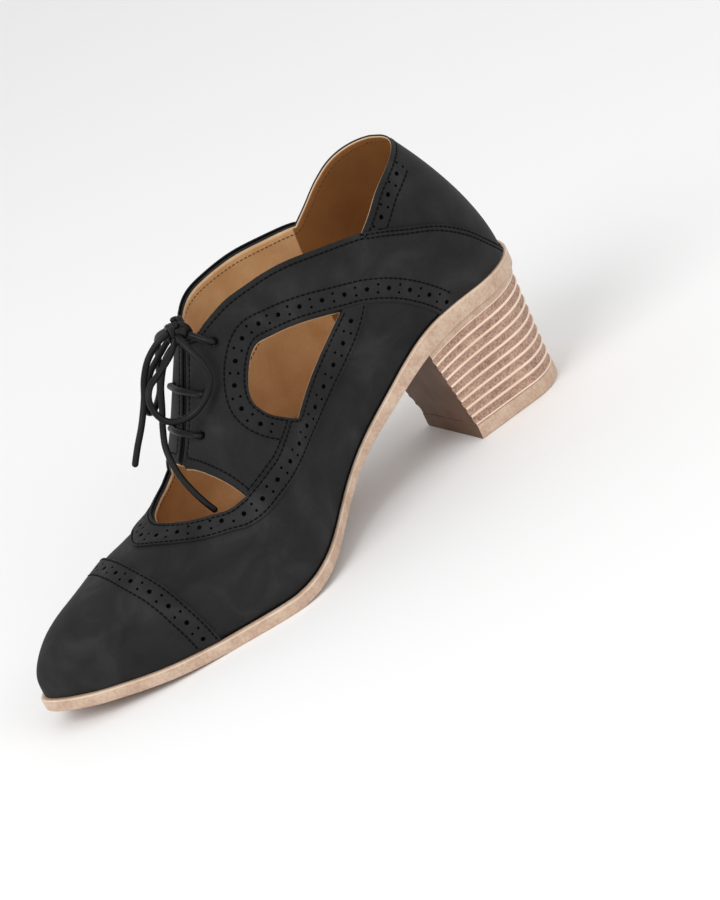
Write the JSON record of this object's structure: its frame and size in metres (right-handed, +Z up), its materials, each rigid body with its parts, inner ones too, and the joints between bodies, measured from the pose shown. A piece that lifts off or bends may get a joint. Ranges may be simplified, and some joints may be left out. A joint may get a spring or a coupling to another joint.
{
  "type": "heeled shoe",
  "caption": "Right lace-up shoe on a ribbed block heel, with a throat cut-out, side windows, toe cap and punched facing.",
  "frame": {"origin": "on the floor under the middle of the shoe's plan box, free lace ends and bow apart", "axes": "+Y from the toe to the back of the heel, +X to the wearer's left (the medial side), +Z up"},
  "size_m": [0.0852, 0.242, 0.1166],
  "materials": {
    "upper_leather": "matt nubuck, charcoal black, camel lining",
    "overlay_leather": "matt nubuck with punched holes and stitching",
    "sole_edge": "pale stacked-leather look, satin",
    "top_piece": "satin rubber, edge coloured like the heel",
    "insole_leather": "smooth tan lining leather",
    "lace": "waxed round braided lace, black"
  },
  "bodies": {
    "root": {"outsole": "sole_edge", "heel": "sole_edge", "heel_top_piece": "top_piece", "insole": "insole_leather", "upper": "upper_leather", "toe_cap": "overlay_leather", "vamp_facing": "overlay_leather", "quarter_medial": "overlay_leather", "quarter_lateral": "overlay_leather", "lace_bottom_bar": "lace", "lace_middle_bar": "lace", "lace_knot": "lace", "lace_loop_medial": "lace", "lace_loop_lateral": "lace", "lace_end_free": "lace", "lace_end_tucked": "lace"}
  },
  "joints": []
}
